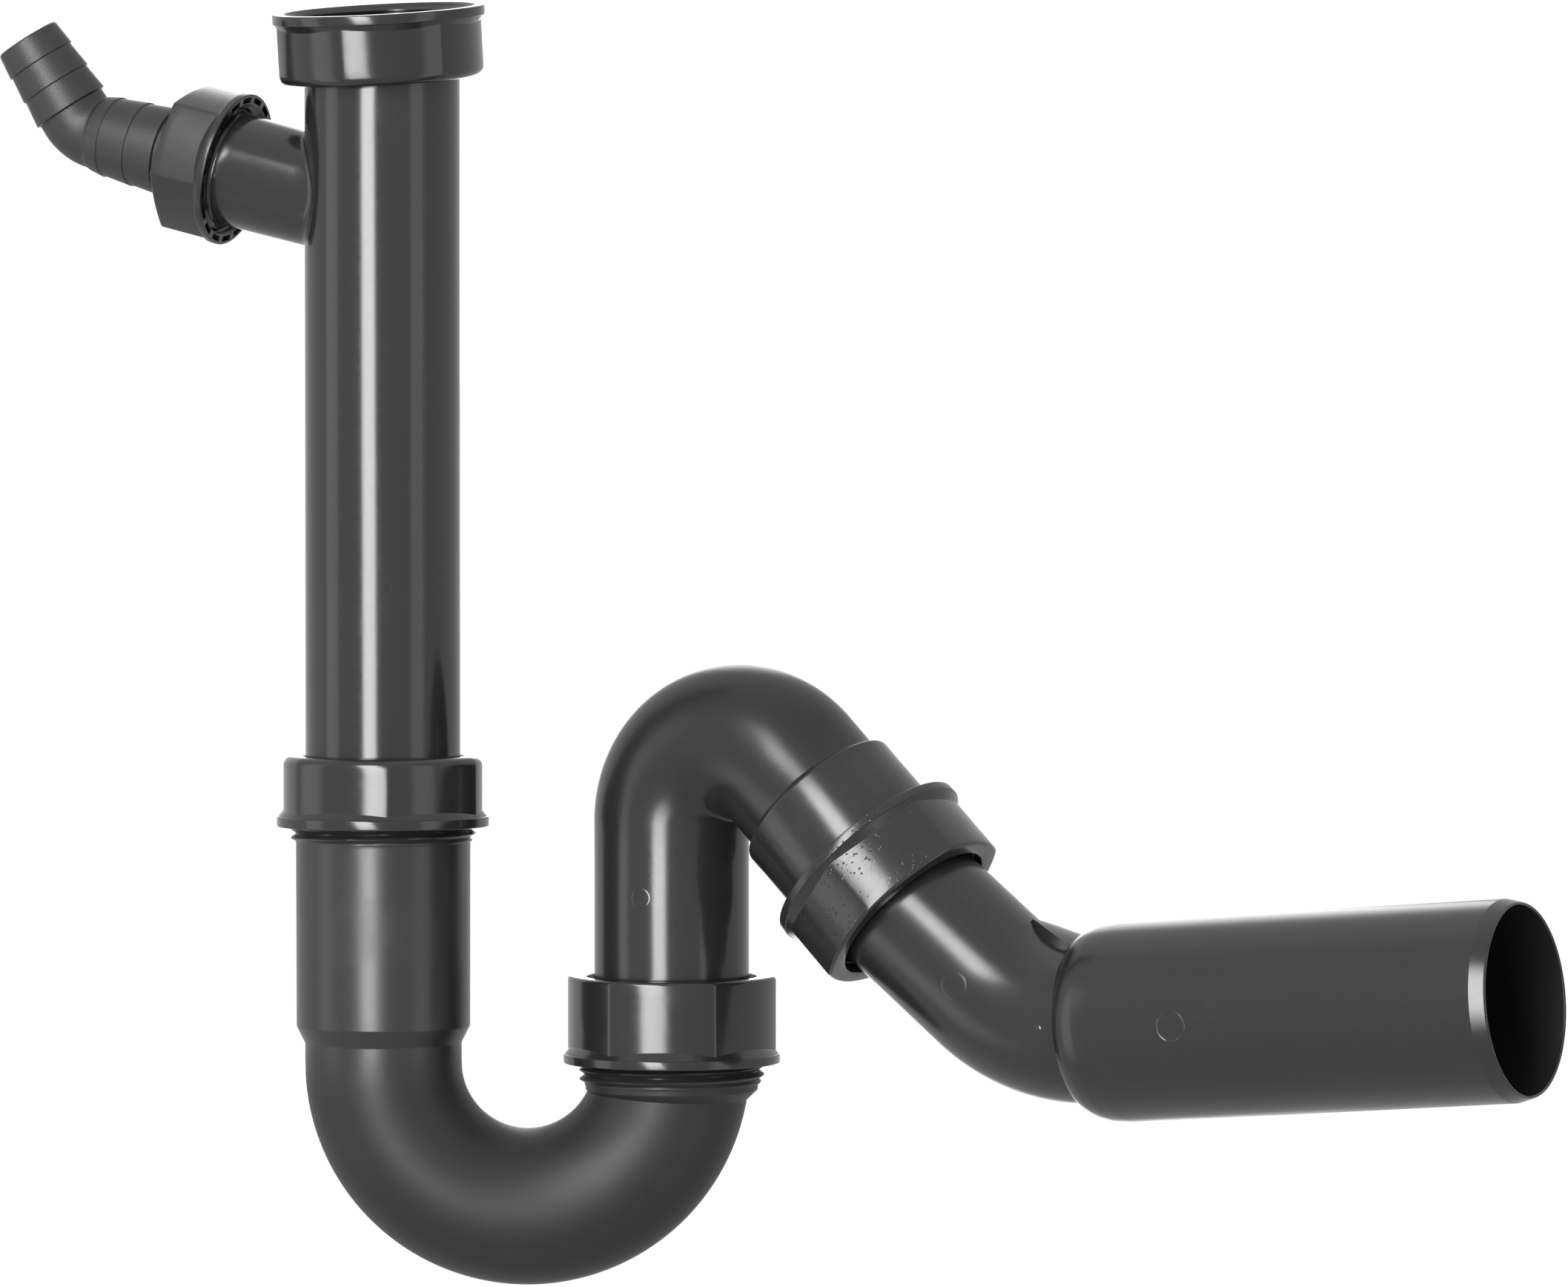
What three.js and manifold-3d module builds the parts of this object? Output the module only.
// Tubular sink trap (P trap) in dark grey polypropylene, 40 mm inlet, 50 mm outlet, with an
// appliance branch on the inlet tube. Millimetres, +Z up.
// Origin: under the middle of the whole trap, at the level of the bottom of the U bend. The heights
// below are taken from the inlet seat, the top face of the inlet gasket.
// The U bend lies in a plane along X with its outlet leg on +X. The upper bend, the outlet joint
// and the outlet pipe lie in one vertical plane, swung about the outlet leg by ARM_AZIMUTH.
// In names, _R is a radius, _T a thickness and _Z a height.
import * as THREE from "three";
import { mergeVertices } from "three/addons/utils/BufferGeometryUtils.js";
import Module from "manifold-3d";

const wasm = await Module();
wasm.setup();

const DEG = Math.PI / 180;

// ---- shared dimensions --------------------------------------------------------------------
const ROUND_SEGMENTS = 28; // sides of a round piece
const NOZZLE_SEGMENTS = 20;
const PIPE_R = 20; // 40 mm tube and leg
const PIPE_BORE_R = 18.2;
const BORE_STEP_R = PIPE_BORE_R - 0.4; // narrow end of a socket's bore
const BEND_R = 20.2; // moulded bend, outside
const SOCKET_R = 22.5; // socket outside, also the thread's root
const SOCKET_BORE_R = 20.4;
const SOCKET_FLARE_R = 22; // bore at the mouth
const SOCKET_FLARE_DEPTH = 7;
const THREAD_PITCH = 2.309; // G 1 1/2, 11 threads per inch
const THREAD_R = 23.9;
const FIRST_CREST = 1.3; // first crest, below the mouth
const NUT_BORE_R = 24.25; // clears the thread crests
const SEAL_BORE_R = 20.35;
const CUT = 1; // how far a bore runs past the piece it cuts

// ---- inlet --------------------------------------------------------------------------------
const GASKET_T = 2.3;
const GASKET_BORE_R = 18.4;
const COLLAR_TOP = -2.6;
const COLLAR_T = 3.5;
const COLLAR_R = 22;
const TUBE_END_Z = -248.5;
const INLET_NUT_Z = -12.4;
const INLET_NUT_TILT_X = 6.9 * DEG; // towards -Y
const INLET_NUT_TILT_Y = -2.9 * DEG; // towards -X

// ---- U bend and its sockets ---------------------------------------------------------------
const TUBE_MOUTH_Z = -195.4; // mouth plane of the trap's inlet socket
const TUBE_SOCKET_END_Z = -257.7;
const TUBE_THREAD_TURNS = 6;
const TUBE_FIRST_CREST = 2.1;
const U_CENTRE_Z = -267.3;
const U_R = 37.22; // centreline radius
const LEG_X = 2 * U_R;
const ARM_MOUTH_Z = -252.3; // mouth plane of the trap's outlet socket
const ARM_SOCKET_END_Z = -276.7;
const ARM_THREAD_TURNS = 8;
const ARM_FIRST_CREST = 2.95;

// ---- upper bend ---------------------------------------------------------------------------
const LEG_END_Z = -274.5;
const ARM_AZIMUTH = -30 * DEG; // about +Z
const ARM_BEND_Z = -204.8; // start of the arc
const ARM_BEND_R = 20.6;
const ARM_DIP = 45 * DEG; // outlet axis below the horizontal
const ARM_TURN = Math.PI / 2 + ARM_DIP;
// These two are measured along the outlet axis, from the end of the bend.
const ARM_SOCKET_START = 11.7;
const OUT_MOUTH = 43.9;
const OUT_THREAD_TURNS = 5;
const OUT_RING_BORE_R = 21.7;

// ---- outlet pipe --------------------------------------------------------------------------
const OUT_PIPE_START = 15.5;
const OUT_SET = 6.6 * DEG; // the outlet pipe leaves the nut this much off the socket's axis
const OUT_VERTEX = 52; // from the mouth plane to the elbow's vertex
const OUT_RISE = 5 * DEG; // spigot above the horizontal
const OUT_ELBOW_R = 40;
const OUT_TURN = ARM_DIP + OUT_RISE - OUT_SET;
const SPIGOT_R = 25;
const SPIGOT_END_R = 24.75;
const SPIGOT_BORE_R = 23.1;
const SPIGOT_START = 13.4; // from the elbow's vertex
const SPIGOT_END = 134;
const WEB_T = 4.5; // web across the inside of the elbow
const WEB_START = 33; // from the mouth plane

// ---- appliance branch ---------------------------------------------------------------------
const BRANCH_Z = -46.9;
const BRANCH_R = 14.5;
const BRANCH_BORE_R = 12.2;
const BRANCH_DIR = new THREE.Vector3(-0.9104, 0.3313, 0.2478).normalize();
const NOZZLE_DIR = new THREE.Vector3(-0.535, -0.03, 0.8443).normalize();
const BRANCH_START = 6; // this and the distances below are from the tube's axis
const BRANCH_BORE_START = 1;
const BRANCH_MOUTH = 51;
const BRANCH_THREAD_R = 16.6;
const BRANCH_THREAD_TURNS = 3;
const NOZZLE_VERTEX = 87.2;
const NOZZLE_BEND_R = 8;
const NOZZLE_CORE_R = 9.4; // round the bend, between the two barbed parts
const NOZZLE_BORE_R = 6.6;

// ---- nuts: see nutBody for the fields -------------------------------------------------------
const ROUND_NUT = {
  height: 18.2,
  lip: 3,
  lipZ: 4.4,
  holeR: 20.9,
  faceR: 25.7,
  cornerR: 26.6,
  flangeR: 27.4,
  flangeT: 2.6,
  round: 2.8,
};
const SHARP_NUT = {
  height: 19.5,
  lip: 3,
  lipZ: 4.4,
  holeR: 22,
  faceR: 25.9,
  cornerR: 27,
  flangeR: 28,
  flangeT: 2.2,
  round: 1,
};
const INLET_NUT = { ...ROUND_NUT, lipZ: -1.5, holeR: 21, cornerAngle: 55 };
const TUBE_NUT = { ...ROUND_NUT, cornerAngle: 37 };
const ARM_NUT = { ...SHARP_NUT, height: 22.3, cornerAngle: 55 };
const OUTLET_NUT = { ...SHARP_NUT, cornerAngle: 24 };
const BRANCH_NUT = {
  height: 15.4,
  lip: 2.2,
  lipZ: BRANCH_MOUTH + 4.6,
  holeR: 12,
  faceR: 18.4,
  cornerR: 19.2,
  flangeR: 20,
  flangeT: 2.2,
  round: 1.2,
  cornerAngle: 31,
  boreR: 16.95,
};

// ---- materials ----------------------------------------------------------------------------
const plastic = (color, { roughness }) =>
  new THREE.MeshStandardMaterial({ color, roughness, metalness: 0 });
const tubePlastic = () => plastic(0x3f4347, { roughness: 0.18 });
const bendPlastic = () => plastic(0x43474b, { roughness: 0.35 });
const nutPlastic = () => plastic(0x3d4144, { roughness: 0.42 });
const nozzlePlastic = () => plastic(0x34373a, { roughness: 0.6 });
const rubber = () => plastic(0x141516, { roughness: 0.8 });
const ringPlastic = () => plastic(0x9a9c9a, { roughness: 0.5 });

// ---- solids -------------------------------------------------------------------------------
// A closed BufferGeometry as a solid, with shared vertices merged and faces turned outwards.
function solid(geometry) {
  const bare = geometry.clone();
  bare.deleteAttribute("normal");
  bare.deleteAttribute("uv");
  const merged = mergeVertices(bare, 1e-4);
  const index = merged.index.array;
  const triangles = [];
  for (let i = 0; i < index.length; i += 3) {
    const [a, b, c] = index.slice(i, i + 3);
    if (a !== b && b !== c && a !== c) triangles.push(a, b, c);
  }
  const make = () =>
    new wasm.Manifold(
      new wasm.Mesh({
        numProp: 3,
        vertProperties: merged.attributes.position.array,
        triVerts: new Uint32Array(triangles),
      }),
    );
  const made = make();
  if (made.volume() > 0) return made;
  for (let i = 0; i < triangles.length; i += 3) {
    [triangles[i + 1], triangles[i + 2]] = [triangles[i + 2], triangles[i + 1]];
  }
  return make();
}

function geometryOf(body) {
  const source = body.getMesh();
  const geometry = new THREE.BufferGeometry();
  const positions = new Float32Array(source.vertProperties);
  geometry.setAttribute("position", new THREE.BufferAttribute(positions, 3));
  geometry.setIndex(new THREE.BufferAttribute(new Uint32Array(source.triVerts), 1));
  geometry.computeVertexNormals();
  return geometry;
}

const placed = (body, matrix) => solid(geometryOf(body).applyMatrix4(matrix));

const shapeOf = (points) => new THREE.Shape(points.map(([x, y]) => new THREE.Vector2(x, y)));

// A [radius, z] profile, closed back to its first point and turned about +Z.
function turned(profile, segments = ROUND_SEGMENTS) {
  const points = [...profile, profile[0]].map(([r, z]) => new THREE.Vector2(r, z));
  return solid(new THREE.LatheGeometry(points, segments).rotateX(Math.PI / 2));
}

// A turned solid without a hole: the [radius, z] profile gets a flat end on the axis at each end.
function rod(profile, segments) {
  return turned([[0, profile[0][1]], ...profile, [0, profile.at(-1)[1]]], segments);
}

const bar = (r, bottom, top) => rod([[r, bottom], [r, top]]);

// A washer-like ring from z = bottom to z = top.
const ring = (innerR, outerR, bottom, top, segments) =>
  turned([[innerR, bottom], [outerR, bottom], [outerR, top], [innerR, top]], segments);

// A flat outline in XY, raised from z = bottom to z = top.
function raised(points, bottom, top) {
  const options = { depth: top - bottom, bevelEnabled: false };
  return solid(new THREE.ExtrudeGeometry(shapeOf(points), options).translate(0, 0, bottom));
}

// A path made of stations, each with its own point and tangent, so that the ends of a bend fall
// exactly on stations. It has only what ExtrudeGeometry asks for.
class StationPath extends THREE.Curve {
  constructor(points, tangents) {
    super();
    this.points = points;
    this.tangents = tangents;
  }
  getSpacedPoints() {
    return this.points;
  }
  getTangentAt(u) {
    return this.tangents[Math.round(u * (this.tangents.length - 1))].clone();
  }
}

// A straight, an arc and a straight in the XZ plane. from: start point [x, z], angle: start
// direction above +X, turn: signed angle of the arc, counter-clockwise seen from -Y.
function bentPath({ from, angle = Math.PI / 2, before, radius, turn, after, steps }) {
  const points = [];
  const tangents = [];
  const put = (x, z, heading) => {
    points.push(new THREE.Vector3(x, 0, z));
    tangents.push(new THREE.Vector3(Math.cos(heading), 0, Math.sin(heading)));
  };
  put(...from, angle);
  const side = Math.sign(turn) * radius;
  const centreX = from[0] + before * Math.cos(angle) - side * Math.sin(angle);
  const centreZ = from[1] + before * Math.sin(angle) + side * Math.cos(angle);
  for (let i = 0; i <= steps; i++) {
    const heading = angle + (turn * i) / steps;
    put(centreX + side * Math.sin(heading), centreZ - side * Math.cos(heading), heading);
  }
  const end = angle + turn;
  const last = points.at(-1);
  put(last.x + after * Math.cos(end), last.z + after * Math.sin(end), end);
  return new StationPath(points, tangents);
}

// A round section swept along a path.
function swept(path, radius, segments = ROUND_SEGMENTS) {
  const outline = [];
  for (let i = 0; i < segments; i++) {
    const angle = (2 * Math.PI * i) / segments;
    outline.push([radius * Math.cos(angle), radius * Math.sin(angle)]);
  }
  return solid(
    new THREE.ExtrudeGeometry(shapeOf(outline), {
      steps: path.points.length - 1,
      extrudePath: path,
      bevelEnabled: false,
    }),
  );
}

// ---- scene --------------------------------------------------------------------------------
function addMesh(name, body, material, parent = trap) {
  const mesh = new THREE.Mesh(geometryOf(body), material);
  mesh.name = name;
  parent.add(mesh);
  return mesh;
}

function addGroup(parent, x, y, z) {
  const group = new THREE.Group();
  group.position.set(x, y, z);
  parent.add(group);
  return group;
}

// ---- threads, sockets and nuts ------------------------------------------------------------
// The thread's outline below a mouth at z = mouth, listed upwards: one ridge per turn.
function threadProfile(mouth, turns, { rootR = SOCKET_R, crestR = THREAD_R, first = FIRST_CREST }) {
  const points = [];
  for (let i = 0; i < turns; i++) {
    const z = mouth - first - i * THREAD_PITCH;
    points.push([rootR, z + THREAD_PITCH / 2], [crestR, z]);
  }
  points.push([rootR, mouth - first - (turns - 0.5) * THREAD_PITCH]);
  return points.reverse();
}

// What is cut from a socket: a step at its end, a straight bore and a flare at the mouth.
const socketBore = (mouth, end) =>
  rod([
    [BORE_STEP_R, end - 2.2],
    [SOCKET_BORE_R, end],
    [SOCKET_BORE_R, mouth - SOCKET_FLARE_DEPTH],
    [SOCKET_FLARE_R, mouth],
    [SOCKET_FLARE_R, mouth + CUT],
  ]);

// Nut about +Z: the lip, with a hole of holeR, runs up from lipZ; the body, height in all, hangs
// below it. The faces are slightly convex (faceR mid-face, cornerR at the corners), the top edge
// is rounded by round, and a flange with a conical back runs round the open end.
function nutBody(nut) {
  const { height, lip, lipZ, holeR, faceR, cornerR, flangeR, flangeT, round, cornerAngle } = nut;
  const { boreR = NUT_BORE_R } = nut;
  const top = lipZ + lip;
  const bottom = top - height;
  const flangeTop = bottom + flangeT;
  const outline = [];
  for (let degrees = 0; degrees < 360; degrees += 15) {
    const cornerness = Math.abs((degrees % 60) - 30) / 30; // 1 at a corner, 0 mid-face
    const r = faceR + (cornerR - faceR) * cornerness ** 2.4;
    const angle = (cornerAngle + degrees) * DEG;
    outline.push([r * Math.cos(angle), r * Math.sin(angle)]);
  }
  const roundedEnvelope = rod([
    [cornerR + 0.6, bottom],
    [cornerR + 0.6, top - round],
    [cornerR - 0.3 * round, top - 0.3 * round],
    [cornerR - 0.9 * round, top],
  ]);
  const flange = rod([
    [flangeR - 0.4, bottom],
    [flangeR, bottom + 0.5],
    [flangeR, flangeTop - 0.4],
    [faceR - 1, flangeTop + 1.5],
  ]);
  const bore = rod([
    [boreR + 0.6, bottom - CUT],
    [boreR, bottom + 1.2],
    [boreR, lipZ],
    [holeR, lipZ],
    [holeR, top + CUT],
  ]);
  return raised(outline, bottom + 0.5, top).intersect(roundedEnvelope).add(flange).subtract(bore);
}

const sealBody = () =>
  turned([
    [SEAL_BORE_R, -4], [20.75, -4], [21.6, -0.2],
    [22.3, 0.35], [22.5, 2.3], [SEAL_BORE_R, 2.3],
  ]);

// Compression joint: seal, slip ring and nut, on a socket mouth at z = 0 of its group.
function addJoint(name, group, nut, ringBoreR = SEAL_BORE_R) {
  addMesh(`${name}_seal`, sealBody(), rubber(), group);
  addMesh(`${name}_slip_ring`, ring(ringBoreR, 22.9, 2.6, 4.1), ringPlastic(), group);
  addMesh(`${name}_nut`, nutBody(nut), nutPlastic(), group);
}

// ---- inlet tube, with its collar and the branch -------------------------------------------
// +Z along the branch, +X leaning towards the nozzle's tip.
function makeBranchFrame() {
  const y = new THREE.Vector3().crossVectors(BRANCH_DIR, NOZZLE_DIR).normalize();
  const x = new THREE.Vector3().crossVectors(y, BRANCH_DIR);
  return new THREE.Matrix4().makeBasis(x, y, BRANCH_DIR).setPosition(0, 0, BRANCH_Z);
}
const branchFrame = makeBranchFrame();

function inletTubeBody() {
  const collarBottom = COLLAR_TOP - COLLAR_T;
  const tube = rod([
    [PIPE_R - 0.6, TUBE_END_Z],
    [PIPE_R, TUBE_END_Z + 1],
    [PIPE_R, collarBottom - 1.5],
    [COLLAR_R, collarBottom],
    [COLLAR_R, COLLAR_TOP],
  ]);
  const thread = { rootR: BRANCH_R + 0.7, crestR: BRANCH_THREAD_R };
  const stub = rod([
    [BRANCH_R, BRANCH_START],
    ...threadProfile(BRANCH_MOUTH, BRANCH_THREAD_TURNS, thread),
    [BRANCH_R + 0.4, BRANCH_MOUTH],
  ]);
  const stubBore = bar(BRANCH_BORE_R, BRANCH_BORE_START, BRANCH_MOUTH + CUT);
  return tube
    .add(placed(stub, branchFrame))
    .subtract(bar(PIPE_BORE_R, TUBE_END_Z - CUT, COLLAR_TOP + CUT))
    .subtract(placed(stubBore, branchFrame));
}

// The inlet nut hangs loose below the collar, tipped towards -Y.
function addInletNut() {
  const group = addGroup(trap, 0, 0, INLET_NUT_Z);
  group.rotation.set(INLET_NUT_TILT_X, INLET_NUT_TILT_Y, 0);
  const nut = addMesh("inlet_union_nut", nutBody(INLET_NUT), nutPlastic(), group);
  nut.rotation.x = Math.PI; // lip below, open end up
}

// ---- hose nozzle, in the branch's frame ---------------------------------------------------
// A flange and a barbed part along the branch, a bend towards +X and a barbed tip.
function nozzleBody() {
  const turn = BRANCH_DIR.angleTo(NOZZLE_DIR);
  const tangent = NOZZLE_BEND_R * Math.tan(turn / 2);
  const path = (start, end) =>
    bentPath({
      from: [0, start],
      before: NOZZLE_VERTEX - tangent - start,
      radius: NOZZLE_BEND_R,
      turn: -turn,
      after: end - tangent,
      steps: 5,
    });
  const barbedBase = rod([
    [15.6, BRANCH_MOUTH + 2.2], [15.6, BRANCH_MOUTH + 4.2], [11.6, BRANCH_MOUTH + 4.2],
    [10.9, 61.8], [11.5, 62.2], [10.8, 70.2], [11.1, 70.4],
    [10.3, 78.3], [10.6, 78.5], [9.9, 82],
  ], NOZZLE_SEGMENTS);
  // Heights here are from the bend's vertex.
  const barbedTip = turned([
    [0, 5], [9.3, 6.8], [10.2, 7], [9.25, 14], [9.7, 14.2],
    [8.85, 21.1], [9.3, 21.3], [8.6, 28], [0, 28],
  ], NOZZLE_SEGMENTS);
  const tipFrame = new THREE.Matrix4().makeRotationY(turn).setPosition(0, 0, NOZZLE_VERTEX);
  return barbedBase
    .add(swept(path(60, 20), NOZZLE_CORE_R, NOZZLE_SEGMENTS))
    .add(placed(barbedTip, tipFrame))
    .subtract(swept(path(BRANCH_MOUTH + 1, 32), NOZZLE_BORE_R, 16));
}

function addBranch() {
  const branch = addGroup(trap, 0, 0, BRANCH_Z);
  branch.quaternion.setFromRotationMatrix(branchFrame);
  const gasket = ring(9, 14.9, BRANCH_MOUTH + 0.3, BRANCH_MOUTH + 1.9, 24);
  addMesh("branch_gasket", gasket, rubber(), branch);
  addMesh("branch_union_nut", nutBody(BRANCH_NUT), nutPlastic(), branch);
  addMesh("hose_nozzle", nozzleBody(), nozzlePlastic(), branch);
}

// ---- trap bend ----------------------------------------------------------------------------
// The arc starts at (0, U_CENTRE_Z) heading down and ends at (LEG_X, U_CENTRE_Z) heading up.
const uPath = (before, after) =>
  bentPath({
    from: [0, U_CENTRE_Z + before],
    angle: -Math.PI / 2,
    before,
    radius: U_R,
    turn: Math.PI,
    after,
    steps: 14,
  });

function trapBendBody() {
  const inletSocket = turned([
    [0, TUBE_SOCKET_END_Z - 8],
    [19, TUBE_SOCKET_END_Z - 4.5],
    [BEND_R, TUBE_SOCKET_END_Z - 4.4],
    [SOCKET_R, TUBE_SOCKET_END_Z],
    [SOCKET_R - 0.1, TUBE_MOUTH_Z - 16],
    ...threadProfile(TUBE_MOUTH_Z, TUBE_THREAD_TURNS, { first: TUBE_FIRST_CREST }),
    [SOCKET_R, TUBE_MOUTH_Z],
    [0, TUBE_MOUTH_Z],
  ]);
  const outletSocket = rod([
    [BEND_R - 0.6, ARM_SOCKET_END_Z],
    [SOCKET_R - 0.1, ARM_SOCKET_END_Z + 2.4],
    ...threadProfile(ARM_MOUTH_Z, ARM_THREAD_TURNS, { first: ARM_FIRST_CREST }),
    [SOCKET_R, ARM_MOUTH_Z],
  ]);
  const atLeg = new THREE.Matrix4().makeTranslation(LEG_X, 0, 0);
  return swept(uPath(12, 6), BEND_R)
    .add(inletSocket)
    .add(placed(outletSocket, atLeg))
    .subtract(swept(uPath(20, 15), PIPE_BORE_R))
    .subtract(socketBore(TUBE_MOUTH_Z, TUBE_SOCKET_END_Z + 2))
    .subtract(placed(socketBore(ARM_MOUTH_Z, LEG_END_Z - 0.8), atLeg));
}

// ---- upper bend, from the leg over the top to the outlet socket ---------------------------
// The outlet frame stands at the end of the bend, +Z down the outlet axis.
const outletFrame = new THREE.Matrix4()
  .makeRotationY(ARM_TURN)
  .setPosition(
    ARM_BEND_R * (1 - Math.cos(ARM_TURN)),
    0,
    ARM_BEND_Z + ARM_BEND_R * Math.sin(ARM_TURN),
  );

const armPath = (start, after) =>
  bentPath({
    from: [0, start],
    before: ARM_BEND_Z - start,
    radius: ARM_BEND_R,
    turn: -ARM_TURN,
    after,
    steps: 12,
  });

function upperBendBody() {
  const socket = rod([
    [PIPE_R - 0.8, ARM_SOCKET_START - 2],
    [PIPE_R, ARM_SOCKET_START - 0.6],
    [SOCKET_R, ARM_SOCKET_START],
    [SOCKET_R, OUT_MOUTH - 14.9],
    ...threadProfile(OUT_MOUTH, OUT_THREAD_TURNS, {}),
    [SOCKET_R, OUT_MOUTH],
  ]);
  return swept(armPath(LEG_END_Z, 12), PIPE_R)
    .add(placed(socket, outletFrame))
    .subtract(swept(armPath(LEG_END_Z - CUT, 14), PIPE_BORE_R))
    .subtract(placed(socketBore(OUT_MOUTH, ARM_SOCKET_START + 2.2), outletFrame));
}

// ---- outlet pipe, in the outlet frame -----------------------------------------------------
// The pipe is straight inside the socket, sets off by OUT_SET at the mouth plane, and then turns
// by the rest at the elbow, towards -X.
const outVertex = [-OUT_VERTEX * Math.sin(OUT_SET), OUT_MOUTH + OUT_VERTEX * Math.cos(OUT_SET)];

function outPath(start, end) {
  const tangent = OUT_ELBOW_R * Math.tan(OUT_TURN / 2);
  const setOff = 5; // first station past the mouth plane
  const path = bentPath({
    from: [-setOff * Math.sin(OUT_SET), OUT_MOUTH + setOff * Math.cos(OUT_SET)],
    angle: Math.PI / 2 + OUT_SET,
    before: OUT_VERTEX - tangent - setOff,
    radius: OUT_ELBOW_R,
    turn: OUT_TURN,
    after: end - tangent,
    steps: 10,
  });
  for (const z of [OUT_MOUTH + 1.5, start]) {
    path.points.unshift(new THREE.Vector3(0, 0, z));
    path.tangents.unshift(new THREE.Vector3(0, 0, 1));
  }
  return path;
}

// The web is a thin leaf in the pipe's plane, from the straight part to the spigot's shoulder.
function webBody() {
  // The [x, z] point at `along` down an axis tilted by angle, and `out` to its inner side.
  const inPlane = (along, angle, out, [x, z]) => [
    x - along * Math.sin(angle) - out * Math.cos(angle),
    z + along * Math.cos(angle) - out * Math.sin(angle),
  ];
  const mouth = [0, OUT_MOUTH];
  const spigotAngle = OUT_TURN + OUT_SET;
  const shoulder = SPIGOT_START + 0.6;
  const outline = [
    inPlane(WEB_START, OUT_SET, PIPE_R, mouth),
    inPlane(shoulder, spigotAngle, PIPE_R + 1.3, outVertex),
    inPlane(shoulder, spigotAngle, PIPE_R - 1, outVertex),
    inPlane(0, OUT_SET + OUT_TURN / 2, PIPE_R + 2.1, outVertex),
    inPlane(WEB_START, OUT_SET, PIPE_R - 0.9, mouth),
  ];
  const upright = new THREE.Matrix4().makeRotationX(Math.PI / 2);
  return placed(raised(outline, -WEB_T / 2, WEB_T / 2), upright);
}

function outletPipeBody() {
  const spigot = rod([
    [PIPE_R - 0.8, SPIGOT_START - 2],
    [PIPE_R, SPIGOT_START],
    [21.6, SPIGOT_START + 1.6],
    [23.6, SPIGOT_START + 5],
    [24.7, SPIGOT_START + 9],
    [SPIGOT_R, SPIGOT_START + 13],
    [SPIGOT_END_R, SPIGOT_END - 5],
    [SPIGOT_END_R - 1, SPIGOT_END],
  ]);
  const spigotBore = rod([
    [BORE_STEP_R, SPIGOT_START + 2],
    [19.6, SPIGOT_START + 3.4],
    [21.8, SPIGOT_START + 7],
    [22.9, SPIGOT_START + 10.5],
    [SPIGOT_BORE_R, SPIGOT_START + 14],
    [SPIGOT_BORE_R - 0.1, SPIGOT_END + CUT],
  ]);
  const spigotFrame = new THREE.Matrix4()
    .makeRotationY(-OUT_TURN - OUT_SET)
    .setPosition(outVertex[0], 0, outVertex[1]);
  return swept(outPath(OUT_PIPE_START, SPIGOT_START + 4), PIPE_R)
    .add(placed(spigot, spigotFrame))
    .add(webBody())
    .subtract(swept(outPath(OUT_PIPE_START - CUT, SPIGOT_START + 8), PIPE_BORE_R))
    .subtract(placed(spigotBore, spigotFrame));
}

function addArm() {
  const arm = addGroup(trap, LEG_X, 0, 0);
  arm.rotation.z = ARM_AZIMUTH;
  addMesh("upper_bend", upperBendBody(), bendPlastic(), arm);
  const outlet = addGroup(arm, 0, 0, 0);
  outlet.position.setFromMatrixPosition(outletFrame);
  outlet.quaternion.setFromRotationMatrix(outletFrame);
  addJoint("outlet", addGroup(outlet, 0, 0, OUT_MOUTH), OUTLET_NUT, OUT_RING_BORE_R);
  addMesh("outlet_pipe", outletPipeBody(), bendPlastic(), outlet);
}

// ---- assembly -----------------------------------------------------------------------------
const root = new THREE.Group();
// Everything hangs from the centre of the inlet seat; the U bend's underside is at z = 0.
const trap = addGroup(root, -96.546, 50.998, U_R + BEND_R - U_CENTRE_Z);

addMesh("inlet_tube", inletTubeBody(), tubePlastic());
addMesh("inlet_gasket", ring(GASKET_BORE_R, COLLAR_R, -GASKET_T, 0), rubber());
addInletNut();
addBranch();
addMesh("trap_bend", trapBendBody(), bendPlastic());
addJoint("tube", addGroup(trap, 0, 0, TUBE_MOUTH_Z), TUBE_NUT);
addJoint("arm", addGroup(trap, LEG_X, 0, ARM_MOUTH_Z), ARM_NUT);
addArm();

export default root;
